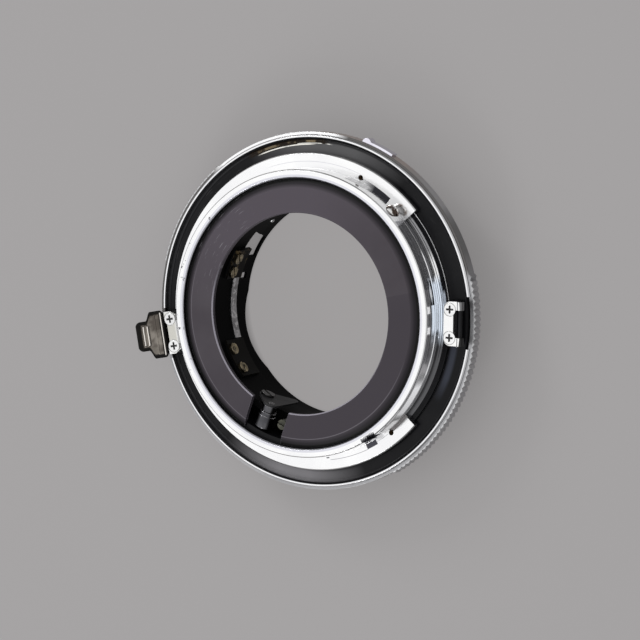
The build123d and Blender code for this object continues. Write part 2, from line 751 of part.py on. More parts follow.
# Finger tab: knuckle on the pin, hood over the arms, cross bar and stem, with a recessed face and two ridges
tab_plan = Pos((tab_bar_start + tab_bar_end) / 2, 0) * Rectangle(tab_bar_end - tab_bar_start, tab_bar_width)
tab_plan += Pos((tab_bar_start + tab_length) / 2, 0) * Rectangle(tab_length - tab_bar_start, tab_stem_width)
tab_plan = fillet(tab_plan.vertices(), tab_corner)
neck_width = arm_gap - free_gap
tab_plan += Pos(tab_bar_start, 0) * Rectangle(2 * tab_bar_start, neck_width)
tab_bottom = tab_lift - tab_thickness / 2
tab_top = tab_lift + tab_thickness / 2
tab = Pos(0, 0, tab_bottom) * extrude(tab_plan, tab_thickness)
hood_length = tab_hood + tab_bar_start + tab_corner
hood = Box(hood_length, tab_bar_width, tab_hood_thickness, align=(Align.MIN, Align.CENTER, Align.MAX))
tab += Pos(-tab_hood, 0, tab_top) * fillet(hood.edges().filter_by(Axis.Z), tab_hood)
tab += Rot(90, 0, 0) * Cylinder(arm_knuckle_radius - running_fit, neck_width)
well_start = tab_bar_start + tab_border / 2
well_bar = Pos((well_start + tab_bar_end) / 2, 0) * Rectangle(
    tab_bar_end - well_start, tab_bar_width - 2 * tab_border)
well_stem = Pos((well_start + tab_length - tab_border) / 2, 0) * Rectangle(
    tab_length - tab_border - well_start, tab_stem_width - 2 * tab_border)
well = well_bar + well_stem
well_floor = tab_top - tab_recess
tab -= Pos(0, 0, well_floor) * extrude(well, tab_recess + cut_over)
ridge_length = tab_stem_width - 2 * tab_border - 2 * tab_ridge_gap
for step in (1, 2):
    ridge_spot = Pos(tab_length - tab_border - step * tab_ridge_pitch, 0, well_floor)
    tab += ridge_spot * Rot(90, 0, 0) * Cylinder(tab_ridge_radius, ridge_length)
tab -= Rot(90, 0, 0) * Cylinder(hinge_pin_radius + running_fit, plate_width)
tab = Pos(hinge_radius, 0, hinge_height) * Rot(0, -tab_rest, 0) * tab
save(turn(tab, clip_angles["left"]), "left_tab")
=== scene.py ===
import bmesh
import bpy
import numpy as np
from mathutils import Matrix


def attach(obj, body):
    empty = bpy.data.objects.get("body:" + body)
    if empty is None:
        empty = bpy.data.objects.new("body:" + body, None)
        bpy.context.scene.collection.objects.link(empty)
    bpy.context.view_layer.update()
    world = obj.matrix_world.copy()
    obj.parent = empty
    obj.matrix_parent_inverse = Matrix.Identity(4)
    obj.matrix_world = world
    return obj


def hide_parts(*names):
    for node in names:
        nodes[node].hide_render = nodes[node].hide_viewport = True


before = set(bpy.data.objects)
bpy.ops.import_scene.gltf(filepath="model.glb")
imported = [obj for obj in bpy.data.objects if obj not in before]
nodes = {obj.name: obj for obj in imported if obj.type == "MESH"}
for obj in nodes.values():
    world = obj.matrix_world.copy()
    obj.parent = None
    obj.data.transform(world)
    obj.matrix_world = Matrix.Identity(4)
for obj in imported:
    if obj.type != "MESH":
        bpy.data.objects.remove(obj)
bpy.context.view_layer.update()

# Base ring: the body of the adapter, turned from brass. Its lip is plated bright and runs round the face as
# a thin rim; everything below and inside the lip, with the channel and the clips' pockets, is blackened.
mm = 0.001


def add(tree, kind, inputs, **settings):
    """One shader node, with its inputs set to values or linked from other nodes' outputs."""
    made = tree.nodes.new("ShaderNode" + kind)
    for key, value in settings.items():
        setattr(made, key, value)
    for key, value in inputs.items():
        if isinstance(value, bpy.types.NodeSocket):
            tree.links.new(value, made.inputs[key])
        else:
            made.inputs[key].default_value = value
    return made


def span(tree, value, low, high, first, second):
    """Number that goes from the first to the second as a value rises from low to high, and stays there."""
    return add(tree, "MapRange", {0: value, 1: low, 2: high, 3: first, 4: second}).outputs[0]


def times(tree, first, second):
    """Product of two numbers."""
    return add(tree, "Math", {0: first, 1: second}, operation="MULTIPLY").outputs[0]


def mix(tree, share, first, second):
    """Colour between two, by a share."""
    return add(tree, "MixRGB", {0: share, 1: first, 2: second}).outputs[0]


def noise(tree, place, scale, detail):
    """Cloudy number between 0 and 1."""
    return add(tree, "TexNoise", {"Vector": place, "Scale": scale, "Detail": detail}).outputs[0]


def lined(tree, value, scale, detail):
    """Number between 0 and 1 that wavers along one value, so that it draws lines across it."""
    return add(tree, "TexNoise", {"W": times(tree, value, scale), "Scale": 1.0, "Detail": detail},
               noise_dimensions="1D").outputs[0]


def measures(tree):
    """Where a point of the object is: its place, radius, height, and angle from +X towards +Y in degrees."""
    full_turn = 360.0
    place = add(tree, "TexCoord", {}).outputs["Object"]
    flat = add(tree, "VectorMath", {0: place, 1: (1, 1, 0)}, operation="MULTIPLY").outputs[0]
    axes = add(tree, "SeparateXYZ", {0: place}).outputs
    turned = add(tree, "Math", {0: axes["Y"], 1: axes["X"]}, operation="ARCTAN2").outputs[0]
    whole = {0: turned, 1: 180 / np.pi, 2: full_turn}
    degrees = add(tree, "Math", whole, operation="MULTIPLY_ADD").outputs[0]
    return {
        "place": place,
        "flat": flat,
        "radius": add(tree, "VectorMath", {0: flat}, operation="LENGTH").outputs["Value"],
        "height": axes["Z"],
        "angle": add(tree, "Math", {0: degrees, 1: full_turn}, operation="MODULO").outputs[0],
    }


def band(tree, value, low, high, soft):
    """Mask of the values between two limits, with soft edges outside them. A limit of None is open."""
    mask = 1.0
    if low is not None:
        mask = times(tree, mask, span(tree, value, low - soft, low, 0.0, 1.0))
    if high is not None:
        mask = times(tree, mask, span(tree, value, high, high + soft, 1.0, 0.0))
    return mask


def zone_mask(tree, spot, zone):
    """Mask of one zone: the product of its share and its bands of radius, height and angle, in mm and
    degrees, whose edges fade over soft mm and over blur degrees. round is a band of distances from an upright
    line, attribute a layer of the mesh, and streaks and patchy keep only lines or patches of the zone, by a
    scale and the two limits between which they come up."""
    soft = zone.get("soft", 0.03)
    blur = zone.get("blur", 0.2)
    mask = zone.get("share", 1.0)
    for key, unit, fade in (("radius", mm, soft), ("height", mm, soft), ("angle", 1.0, blur)):
        if key in zone:
            low, high = [None if limit is None else limit * unit for limit in zone[key]]
            mask = times(tree, mask, band(tree, spot[key], low, high, fade * unit))
    if "round" in zone:
        x, y, low, high = [value * mm for value in zone["round"]]
        away = add(tree, "VectorMath", {0: spot["flat"], 1: (x, y, 0)}, operation="DISTANCE").outputs["Value"]
        mask = times(tree, mask, band(tree, away, low, high, soft * mm))
    if "attribute" in zone:
        mask = times(tree, mask, add(tree, "Attribute", {}, attribute_name=zone["attribute"]).outputs["Fac"])
    if "streaks" in zone:
        scale, low, high = zone["streaks"]
        mask = times(tree, mask, span(tree, lined(tree, spot["height"], scale, 2.0), low, high, 0.0, 1.0))
    if "patchy" in zone:
        scale, low, high = zone["patchy"]
        mask = times(tree, mask, span(tree, noise(tree, spot["place"], scale, 6.0), low, high, 0.0, 1.0))
    return mask


def finish(name, dark, light, rough, metal, gloss=0.5, lines=0.0, cloud=90.0, edge_wear_and_shine=None, scratch=None,
           zones=()):
    """Metal or paint. Its tone drifts between two colours in clouds, and its roughness with them. gloss is
    the paint's shine, and lines the depth of fine turned rings round the optical axis, in thousandths of a
    mm. The colour of its rounded edges, with their width in mm, is partly rubbed metal and partly a painted
    highlight along the edge. scratch is the colour of short arcs rubbed round the axis, with the two angles
    between which they lie. Each zone has a finish of its own, and its lean tips the surface's shading upwards
    there, as the height that is added to a normal of length 1."""
    material = bpy.data.materials.new(name)
    material.use_nodes = True
    tree = material.node_tree
    shader = tree.nodes["Principled BSDF"]
    spot = measures(tree)
    drift = noise(tree, spot["place"], cloud, 5.0)
    colour = mix(tree, span(tree, drift, 0.35, 0.65, 0.0, 1.0), (*dark, 1), (*light, 1))
    roughness = span(tree, drift, 0.3, 0.7, *rough)
    metallic = metal
    edge_width = edge_wear_and_shine[1] if edge_wear_and_shine else 0.08
    edge = add(tree, "Bevel", {"Radius": edge_width * mm}, samples=6).outputs[0]
    leaning = 0.0
    for zone in zones:
        mask = zone_mask(tree, spot, zone)
        colour = mix(tree, mask, colour, (*zone["colour"], 1))
        roughness = span(tree, mask, 0.0, 1.0, roughness, zone.get("rough", 0.3))
        zone_metal = zone.get("metal", metal)
        if zone_metal != metal or isinstance(metallic, bpy.types.NodeSocket):
            metallic = span(tree, mask, 0.0, 1.0, metallic, zone_metal)
        if "lean" in zone:
            leaning = span(tree, mask, 0.0, 1.0, leaning, zone["lean"])
    if scratch:
        tint, start, end = scratch
        arcs_per_metre = 5000.0
        arcs_per_degree = 0.11
        across = times(tree, spot["radius"], arcs_per_metre)
        along = times(tree, spot["angle"], arcs_per_degree)
        unrolled = add(tree, "CombineXYZ", {0: across, 1: along}).outputs[0]
        arcs = span(tree, noise(tree, unrolled, 1.0, 2.0), 0.66, 0.71, 0.0, 0.75)
        there = band(tree, spot["angle"], start, end, 8.0)
        colour = mix(tree, times(tree, arcs, there), colour, (*tint, 1))
    # Rounded edges take a lighter colour: partly rubbed metal, partly a painted highlight along the edge.
    if edge_wear_and_shine:
        true = add(tree, "NewGeometry", {}).outputs["True Normal"]
        bend = add(tree, "VectorMath", {0: edge, 1: true}, operation="DOT_PRODUCT").outputs["Value"]
        bent = span(tree, bend, 0.80, 0.985, 1.0, 0.0)
        wear_and_shine = times(tree, bent, span(tree, drift, 0.3, 0.55, 0.35, 1.0))
        colour = mix(tree, wear_and_shine, colour, (*edge_wear_and_shine[0], 1))
    if isinstance(leaning, bpy.types.NodeSocket):
        upward = add(tree, "CombineXYZ", {2: leaning}).outputs[0]
        tipped = add(tree, "VectorMath", {0: edge, 1: upward}, operation="ADD").outputs[0]
        edge = add(tree, "VectorMath", {0: tipped}, operation="NORMALIZE").outputs[0]
    tree.links.new(colour, shader.inputs["Base Color"])
    tree.links.new(roughness, shader.inputs["Roughness"])
    if isinstance(metallic, bpy.types.NodeSocket):
        tree.links.new(metallic, shader.inputs["Metallic"])
    else:
        shader.inputs["Metallic"].default_value = metal
    shader.inputs["Specular IOR Level"].default_value = gloss
    micron = 1e-6
    rings_per_metre = 5200.0
    grains_per_metre = 2600.0
    swept = lined(tree, spot["radius"], rings_per_metre, 4.0)
    rings = {"Height": swept, "Strength": 1.0, "Distance": lines * micron}
    ringed = add(tree, "Bump", {**rings, "Normal": edge}).outputs[0]
    speckle = noise(tree, spot["place"], grains_per_metre, 3.0)
    grains = {"Height": speckle, "Strength": 0.5, "Distance": 3 * micron}
    grained = add(tree, "Bump", {**grains, "Normal": ringed}).outputs[0]
    tree.links.new(grained, shader.inputs["Normal"])
    return material


def dress(material, *names):
    """Gives CAD nodes a material."""
    for name in names:
        slots = nodes[name].data.materials
        slots.clear()
        slots.append(material)


black = (0.006, 0.006, 0.007)
inside_lip = {"radius": (None, 43.32), "colour": black, "rough": 0.4, "metal": 0.0}
below_lip = {"height": (None, 14.6), "colour": black, "rough": 0.45, "metal": 0.0}
rim_plate = finish("rim_plate", (0.72, 0.72, 0.74), (0.80, 0.80, 0.81), (0.10, 0.20), 1.0, gloss=0.15,
                   lines=2.0, zones=(inside_lip, below_lip))
dress(rim_plate, "base_ring")

# Snap ring: open ring of spring steel in a groove under the grip ring, which it keeps up against the lip.
# It's out of sight from the front.
spring_steel = finish("spring_steel", (0.42, 0.42, 0.43), (0.60, 0.60, 0.61), (0.20, 0.35), 1.0)
dress(spring_steel, "snap_ring")

# Face ring: flat ring that lies in the channel and rises in a cove to the rim, in glossy black enamel over
# fine turning marks. The grey gleams above, below and at the right are painted reflections, and so is the
# dark brown band with gold glints and pale lines along the top of the cove.
painted_upper_gleam = {"radius": (39.0, 41.9), "angle": (62.0, 82.0), "soft": 0.4, "blur": 22.0,
               "colour": (0.098, 0.097, 0.100)}
cove = {"radius": (42.35, 43.0), "soft": 0.1, "colour": (0.022, 0.022, 0.024)}
painted_lower_gleam = {"radius": (40.3, 42.9), "angle": (243.0, 256.0), "soft": 0.8, "blur": 22.0,
               "colour": (0.19, 0.185, 0.195)}
painted_right_gleam = {"radius": (39.2, 40.0), "angle": (326.0, 342.0), "soft": 0.8, "blur": 9.0,
               "colour": (0.038, 0.042, 0.056)}
# Along the top of the cove, a dark brown band with gold glints, a pale line and pale specks is a painted
# reflection.
painted_brown_reflection = {"radius": (41.75, 42.95), "angle": (74.0, 103.0), "soft": 0.08, "blur": 2.0,
              "colour": (0.014, 0.009, 0.005), "rough": 0.2}
painted_gold_glints = {"radius": (42.0, 42.5), "angle": (76.0, 101.0), "blur": 2.0, "patchy": (260.0, 0.48, 0.56),
               "colour": (0.17, 0.135, 0.085), "rough": 0.2, "metal": 0.6}
painted_glint_line = {"radius": (41.38, 41.62), "angle": (80.0, 98.0), "blur": 3.0, "patchy": (150.0, 0.34, 0.44),
               "colour": (0.84, 0.82, 0.76), "rough": 0.25, "metal": 0.5}
painted_glint_specks = {"radius": (41.7, 41.85), "angle": (72.0, 84.0), "blur": 3.0, "patchy": (300.0, 0.45, 0.52),
                 "colour": (0.75, 0.74, 0.70), "rough": 0.25, "metal": 0.5}
black_enamel = finish("black_enamel", (0.005, 0.005, 0.006), (0.009, 0.009, 0.010), (0.20, 0.30), 0.0,
                      gloss=0.10, lines=3.0, scratch=((0.07, 0.068, 0.07), 20.0, 150.0),
                      zones=(painted_upper_gleam, cove, painted_lower_gleam, painted_right_gleam, painted_brown_reflection, painted_gold_glints,
                             painted_glint_line, painted_glint_specks))
dress(black_enamel, "face_ring")

# Grip ring: thin ring that turns on the base ring, in worn satin plate over brass, knurled on two stretches.
# A small slotted screw set flush in it runs in a groove of the base ring and stops it at both ends.
grip_side = (None, 14.3)
# Over its upper half the ring's top is painted darker as shade. Its smooth side is painted warm, pale and
# dark by angle as reflections, and a painted highlight lies along its top edge at the top.
painted_shade_top = {"height": (14.3, None), "angle": (4.0, 178.0), "blur": 3.0, "colour": (0.11, 0.105, 0.103),
            "rough": 0.45}
painted_warm_reflection = {"height": grip_side, "angle": (44.0, 75.0), "blur": 16.0, "colour": (0.50, 0.44, 0.41),
             "rough": 0.4}
painted_pale_reflection = {"height": grip_side, "angle": (26.0, 34.0), "blur": 10.0, "colour": (0.46, 0.46, 0.47),
             "rough": 0.4}
painted_dark_reflection = {"height": grip_side, "angle": (10.0, 18.0), "blur": 8.0, "colour": (0.22, 0.22, 0.22),
             "rough": 0.4}
knurl_tips = {"radius": (44.55, None), "angle": (118.0, 360.0), "colour": (0.48, 0.48, 0.49), "rough": 0.4}
painted_edge_highlight = {"height": (14.1, None), "angle": (70.0, 114.0), "blur": 5.0, "colour": (0.84, 0.84, 0.85),
               "rough": 0.2}
grip_satin = finish("grip_satin", (0.28, 0.28, 0.29), (0.36, 0.36, 0.37), (0.30, 0.42), 0.9, lines=2.0,
                    zones=(painted_shade_top, painted_warm_reflection, painted_pale_reflection, painted_dark_reflection, knurl_tips, painted_edge_highlight))
dress(grip_satin, "grip_ring")
stop_steel = finish("stop_steel", (0.35, 0.35, 0.36), (0.50, 0.50, 0.50), (0.25, 0.40), 1.0)
dress(stop_steel, "grip_stop_screw")

# Index lug: small plated pad on the smooth stretch of the grip ring, for the thumb to find. Its back is
# curved to the ring, and it ends in a round bulge.
index_plate = finish("index_plate", (0.60, 0.58, 0.66), (0.76, 0.75, 0.82), (0.12, 0.22), 1.0)
dress(index_plate, "index_lug")

# Bayonet tube: turned from brass with its flange, plated bright. Its inner wall and the collar's top in the
# long cut-away are blackened. Along its outer wall there, pale, bluish and dark stripes and the tones at the
# wall's foot are painted reflections, and a bluish patch on the collar's top is a painted reflection. The
# reliefs and the keyway are painted dark as shade. On the flange beside the keyway, thin dark and grey lines
# are painted shade along the edges of a low land that the shape itself doesn't have.
bore = (
    {"radius": (None, 33.66), "colour": black, "rough": 0.4, "metal": 0.0},
    {"radius": (33.66, 34.3), "height": (21.6, None), "soft": 0.2, "colour": (0.62, 0.62, 0.67),
     "rough": 0.25},
)
# The tones at the wall's foot and the stripes along the wall are painted reflections.
foot_reflection = {"radius": (35.74, 36.95), "height": (14.75, 16.2), "soft": 0.1, "blur": 5.0, "rough": 0.2,
        "metal": 0.6}
foot_reflections = (
    {**foot_reflection, "angle": (15.0, 31.0), "colour": (0.30, 0.30, 0.31)},
    {**foot_reflection, "angle": (303.0, 342.0), "colour": (0.10, 0.10, 0.105)},
)
wall = {"radius": (35.5, 35.8), "soft": 0.25, "blur": 4.0, "rough": 0.2, "metal": 1.0}
whole_wall = {**wall, "height": (15.9, 21.4), "blur": 0.3}
pale = {"colour": (0.92, 0.92, 0.94), "lean": 1.2}
pale_line = {**wall, **pale, "height": (17.1, 17.65)}
pale_tick = {**wall, **pale, "height": (20.2, 21.4), "blur": 0.6}
bluish = {**wall, "radius": (35.5, 36.95), "height": (14.9, 19.1), "soft": 0.4, "colour": (0.74, 0.82, 0.93),
          "lean": 1.2}
streaky = {**wall, "radius": (35.5, 36.95), "height": (14.9, 21.2), "streaks": (4100.0, 0.545, 0.60),
           "colour": (0.03, 0.03, 0.033), "rough": 0.3}
wall_reflections = (
    {**whole_wall, "angle": (None, 29.5), "colour": (0.38, 0.38, 0.40), "metal": 0.6},
    {**whole_wall, "angle": (306.5, None), "colour": (0.48, 0.48, 0.50), "metal": 0.4},
    {**pale_line, "angle": (None, 13.0), "share": 0.9},
    {**pale_line, "angle": (13.0, 28.5), "share": 0.6},
    {**pale_line, "angle": (326.0, None), "share": 0.9},
    {**wall, **pale, "height": (17.5, 20.6), "angle": (307.0, 320.0), "soft": 0.9, "blur": 14.0},
    {**bluish, "angle": (None, 1.5)},
    {**bluish, "angle": (344.0, None), "blur": 7.0},
    {**pale_tick, "angle": (342.8, 345.2)},
    {**pale_tick, "angle": (350.8, 353.2)},
    {**streaky, "angle": (None, 29.0)},
    {**streaky, "angle": (334.0, None)},
)
dull = {**wall, "height": (16.2, 19.6), "blur": 1.5, "colour": (0.86, 0.86, 0.87), "rough": 0.6, "metal": 0.2}
dull_by_holes = (
    {**dull, "angle": (50.0, 58.0)},
    {**dull, "angle": (295.0, 302.0)},
)
collar_top = (14.7, 14.9)
# A pale bluish patch on the collar's top at the right is a painted reflection.
collar = (
    {"radius": (36.9, 38.02), "height": collar_top, "colour": black, "rough": 0.16, "metal": 0.0},
    {"radius": (36.8, 37.45), "height": collar_top, "angle": (345.0, 357.0), "blur": 2.0, "share": 0.8,
     "colour": (0.70, 0.76, 0.85), "rough": 0.25, "metal": 0.35},
    {"radius": (38.0, None), "height": (14.0, 14.9), "angle": (300.0, 343.0), "blur": 6.0, "colour": black,
     "metal": 0.0},
)
# The reliefs are painted darker as shade, most by the stud.
relief_shade = {"radius": (35.6, 36.75), "height": (15.65, 15.85), "rough": 0.3}
relief_shades = (
    {**relief_shade, "angle": (28.0, 48.0), "blur": 5.0, "colour": (0.035, 0.035, 0.04)},
    {**relief_shade, "angle": (296.0, 306.0), "colour": (0.20, 0.19, 0.19)},
)
peep = {"radius": (35.9, 37.4), "height": (None, 15.6), "colour": (0.10, 0.062, 0.035), "metal": 0.0}
peeps = (
    {**peep, "angle": (53.0, 57.0)},
    {**peep, "angle": (294.0, 298.4)},
)
flange_top = (16.2, None)
# The keyway's sides and the flange beside it are painted dark as shade.
keyway_shade = (
    {"radius": (34.5, 35.25), "height": (16.0, 18.5), "angle": (286.0, 297.0), "colour": (0.06, 0.06, 0.07)},
    {"radius": (35.75, 37.0), "height": flange_top, "angle": (284.2, 289.0), "colour": (0.065, 0.064, 0.078),
     "rough": 0.3, "metal": 0.0},
)
# Thin dark and grey lines on the flange are painted shade, standing in for the edges of a low land that the
# shape doesn't have.
painted_land_edges = (
    {"radius": (36.35, 36.6), "height": flange_top, "angle": (265.3, 266.4), "colour": (0.10, 0.10, 0.11)},
    {"radius": (36.98, 37.08), "height": flange_top, "angle": (267.0, 284.2), "colour": (0.30, 0.30, 0.32)},
    {"radius": (36.38, 36.46), "height": flange_top, "angle": (289.0, 295.0), "colour": (0.42, 0.42, 0.44)},
)
flange_marks = (
    {"radius": (33.7, 36.5), "height": flange_top, "angle": (115.0, 195.0), "patchy": (620.0, 0.66, 0.68),
     "colour": (0.14, 0.14, 0.15), "metal": 0.0},
    {"radius": (37.35, 37.42), "height": flange_top, "angle": (60.0, 92.0), "blur": 6.0,
     "colour": (0.52, 0.52, 0.56)},
)
bayonet_plate = finish("bayonet_plate", (0.76, 0.76, 0.77), (0.83, 0.83, 0.83), (0.10, 0.20), 1.0, gloss=0.12,
                       lines=4.0, zones=(*bore, *foot_reflections, *wall_reflections, *dull_by_holes, *collar, *relief_shades, *peeps,
                                         *keyway_shade, *painted_land_edges, *flange_marks))
dress(bayonet_plate, "bayonet_tube")

# Bayonet stud: bright stud that stops the adapter in the camera, plated and flecked with brown. It has a low
# dome on a thin shank, which is let into the tube's wall.
flecks = {"patchy": (900.0, 0.50, 0.54), "colour": (0.16, 0.12, 0.10), "rough": 0.2}
stud_plate = finish("stud_plate", (0.60, 0.59, 0.58), (0.84, 0.83, 0.82), (0.08, 0.16), 1.0, cloud=700.0,
                    zones=(flecks,))
dress(stud_plate, "bayonet_stud")

# Tube and sleeve screws: countersunk steel screws. Four come up from the lens side through the base ring into
# the tube, and four go down through the sleeve's flange into the base ring.
screw_steel = finish("screw_steel", (0.45, 0.45, 0.46), (0.62, 0.62, 0.63), (0.2, 0.35), 1.0)
dress(screw_steel, "tube_screws", "sleeve_screws")

# Baffle plate: thin washer with a bevelled edge, sprayed dark warm grey against glare. Its corners are rubbed
# lighter, with a painted highlight along them, and handling has left short scratches on its upper left. Its
# top is painted lighter and its foot darker, as painted light and shade; its bevel and outer edge are painted
# darker as shade, and thin pale lines on the bevel and along the bore's edge are painted highlights.
painted_light_top = {"angle": (70.0, 125.0), "blur": 45.0, "colour": (0.074, 0.064, 0.077), "rough": 0.5}
painted_shade_foot = {"angle": (235.0, 350.0), "blur": 45.0, "colour": (0.046, 0.040, 0.048), "rough": 0.5}
painted_bevel_highlight = {"radius": (31.08, 31.2), "angle": (160.0, 310.0), "soft": 0.1, "blur": 20.0,
              "colour": (0.105, 0.096, 0.11)}
painted_bore_highlight = {"radius": (None, 25.2), "height": (21.5, None), "angle": (165.0, 305.0), "blur": 25.0,
             "colour": (0.34, 0.32, 0.37)}
painted_bevel_shade = {"radius": (32.2, None), "soft": 1.0, "colour": (0.016, 0.014, 0.017), "rough": 0.5}
painted_edge_shadow = {"radius": (32.75, None), "soft": 0.3, "colour": (0.006, 0.006, 0.006), "rough": 0.5}
baffle_paint = finish("baffle_paint", (0.053, 0.046, 0.054), (0.064, 0.057, 0.065), (0.45, 0.6), 0.0,
                      gloss=0.10, lines=1.5, edge_wear_and_shine=((0.24, 0.23, 0.26), 0.14),
                      scratch=((0.22, 0.21, 0.23), 112.0, 156.0),
                      zones=(painted_light_top, painted_shade_foot, painted_bevel_highlight, painted_bore_highlight, painted_bevel_shade, painted_edge_shadow))
dress(baffle_paint, "baffle_plate")

# Lens sleeve: thin black tube that the lens slides into, with openings for the spring, screwed to the base
# ring by its flange. Its corners are rubbed a little lighter.
sleeve_black = finish("sleeve_black", (0.002, 0.002, 0.0022), (0.005, 0.005, 0.0052), (0.45, 0.6), 0.0,
                      gloss=0.02, lines=1.0, edge_wear_and_shine=((0.030, 0.030, 0.031), 0.1))
dress(sleeve_black, "lens_sleeve")

# Leaf spring: strip of bright spring steel along the sleeve's wall, which holds the lens by friction. Two
# blackened clamps cover its ends, each under two brass screws that have gone brown with age. A small steel
# pin in the sleeve stops the lens.
bright_patches = {"patchy": (900.0, 0.52, 0.60), "colour": (0.62, 0.62, 0.63), "rough": 0.25}
spring_end = {"colour": black, "rough": 0.5, "metal": 0.0}
strip_steel = finish("strip_steel", (0.18, 0.18, 0.185), (0.42, 0.42, 0.43), (0.22, 0.36), 1.0, cloud=350.0,
                     gloss=0.1, zones=(bright_patches, {**spring_end, "angle": (None, 153.0)},
                                       {**spring_end, "angle": (186.3, None)}))
dress(strip_steel, "leaf_spring")
brown_patches = {"patchy": (420.0, 0.56, 0.66), "angle": (120.0, 160.0), "colour": (0.10, 0.072, 0.036),
                 "rough": 0.4}
clamp_black = finish("clamp_black", (0.003, 0.003, 0.003), (0.008, 0.007, 0.006), (0.4, 0.6), 0.0, gloss=0.05,
                     cloud=300.0, edge_wear_and_shine=((0.03, 0.026, 0.022), 0.08), zones=(brown_patches,))
dress(clamp_black, "spring_clamp_upper", "spring_clamp_lower")
aged_brass = finish("aged_brass", (0.05, 0.038, 0.022), (0.44, 0.37, 0.23), (0.22, 0.42), 1.0, cloud=650.0,
                    edge_wear_and_shine=((0.60, 0.54, 0.42), 0.15))
dress(aged_brass, "clamp_screws")
pin_steel = finish("pin_steel", (0.45, 0.45, 0.46), (0.65, 0.65, 0.66), (0.15, 0.25), 1.0)
dress(pin_steel, "lens_stop_pin")

# Lever: blackened steel arm on a shouldered screw, with a return spring of wire and a prong for the lens. A
# steel roller on a riveted pin reaches through the baffle's notch, and a slotted post stops the swing.
lever_black = finish("lever_black", (0.011, 0.011, 0.012), (0.019, 0.019, 0.020), (0.35, 0.5), 0.0, gloss=0.2,
                     edge_wear_and_shine=((0.10, 0.10, 0.105), 0.1))
dress(lever_black, "lever_arm", "lever_spring")
pivot_steel = finish("pivot_steel", (0.03, 0.03, 0.03), (0.09, 0.09, 0.09), (0.25, 0.4), 1.0, cloud=500.0,
                     edge_wear_and_shine=((0.30, 0.30, 0.30), 0.1))
dress(pivot_steel, "lever_pivot_screw")
# The roller's near-white edges on dark steel are a painted highlight.
roller_steel = finish("roller_steel", (0.060, 0.060, 0.066), (0.11, 0.11, 0.117), (0.14, 0.24), 1.0,
                      cloud=250.0, edge_wear_and_shine=((0.80, 0.80, 0.83), 0.22))
dress(roller_steel, "lever_roller", "roller_pin")
post_olive = finish("post_olive", (0.035, 0.035, 0.028), (0.11, 0.11, 0.085), (0.3, 0.5), 0.8, cloud=400.0,
                    edge_wear_and_shine=((0.22, 0.22, 0.18), 0.1))
dress(post_olive, "lever_stop")


# Lever web: the stretch of the lever's flat steel arm that joins roller and prong in one straight edge. It is
# of one piece with the arm. Its corners are the two ends of that edge, where it touches the round bosses of
# roller and prong, and a heel beside the pivot.
def cells(rows, columns, first, close_rows):
    """Corner numbers of a grid's cells, from the first point on. The columns close into a ring."""
    index = first + np.arange(rows * columns).reshape(rows, columns)
    index = np.hstack([index, index[:, :1]])
    if close_rows:
        index = np.vstack([index, index[:1]])
    return np.stack([index[:-1, :-1], index[:-1, 1:], index[1:, 1:], index[1:, :-1]], axis=-1).reshape(-1, 4)


def turned_out(turn, outward, sideways, upward):
    """Points in mm from distances outwards from the optical axis at an angle, sideways of it and up."""
    return np.stack([outward * np.cos(turn) - sideways * np.sin(turn),
                     outward * np.sin(turn) + sideways * np.cos(turn), upward], axis=-1)


def new_piece(name, points, corners, material, layers=(), smooth_faces=True):
    """Mesh object of points in mm and of cells, with doubles merged and faces turned outwards. Each layer is
    a name with one number for each point."""
    mesh = bpy.data.meshes.new(name)
    mesh.from_pydata((points * mm).tolist(), [], corners.tolist())
    for label, values in layers:
        mesh.attributes.new(label, "FLOAT", "POINT").data.foreach_set("value", values)
    shell = bmesh.new()
    shell.from_mesh(mesh)
    bmesh.ops.remove_doubles(shell, verts=shell.verts, dist=1e-6)
    bmesh.ops.dissolve_degenerate(shell, edges=shell.edges, dist=1e-7)
    bmesh.ops.recalc_face_normals(shell, faces=shell.faces)
    shell.to_mesh(mesh)
    shell.free()
    mesh.polygons.foreach_set("use_smooth", np.full(len(mesh.polygons), smooth_faces))
    mesh.materials.append(material)
    piece = bpy.data.objects.new(name, mesh)
    bpy.context.scene.collection.objects.link(piece)
    return piece


def plate_skin(outline, near, far, chamfer):
    """Closed skin of a flat plate: an outline of sideways and up, carried outwards between two distances and
    drawn in to its middle on both faces, with a narrow chamfer round each face."""
    face_share = 0.97
    middle = outline.mean(axis=0)
    share = np.array([0.0, face_share, 1.0, 1.0, face_share, 0.0])
    depth = np.array([near, near, near + chamfer, far - chamfer, far, far])
    flat = middle + share[:, None, None] * (outline - middle)
    return flat[..., 0], flat[..., 1], np.repeat(depth[:, None], len(outline), axis=1)


lever_turn = np.radians(236.0)
pivot = np.array([-3.7, 15.7])
roller = np.array([0.0, 19.7])
prong = np.array([1.2, 10.0])
roller_boss = 1.9
prong_boss = 1.0
pivot_reach = 1.3
web_sunk = 0.02
web_chamfer = 0.05
between = (prong - roller) / np.linalg.norm(prong - roller)
taper = (roller_boss - prong_boss) / np.linalg.norm(prong - roller)
square = np.array([-between[1], between[0]]) * np.sqrt(1 - taper ** 2) + between * taper
web_top = roller + roller_boss * square
web_tip = prong + prong_boss * square
across = (web_top + web_tip) / 2 - pivot
heel = pivot + pivot_reach * across / np.linalg.norm(across)
arm_points = np.array([vertex.co for vertex in nodes["lever_arm"].data.vertices]) / mm
arm_depth = arm_points @ (np.cos(lever_turn), np.sin(lever_turn), 0.0)
web_sideways, web_upward, web_outward = plate_skin(
    np.array([web_top, web_tip, heel]), arm_depth.min() + web_sunk, arm_depth.max() - web_sunk, web_chamfer)
web_points = turned_out(lever_turn, web_outward.ravel(), web_sideways.ravel(), web_upward.ravel())
web_cells = cells(*web_sideways.shape, first=0, close_rows=False)
web = new_piece("lever_web", web_points, web_cells, lever_black, smooth_faces=False)
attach(web, "lever")

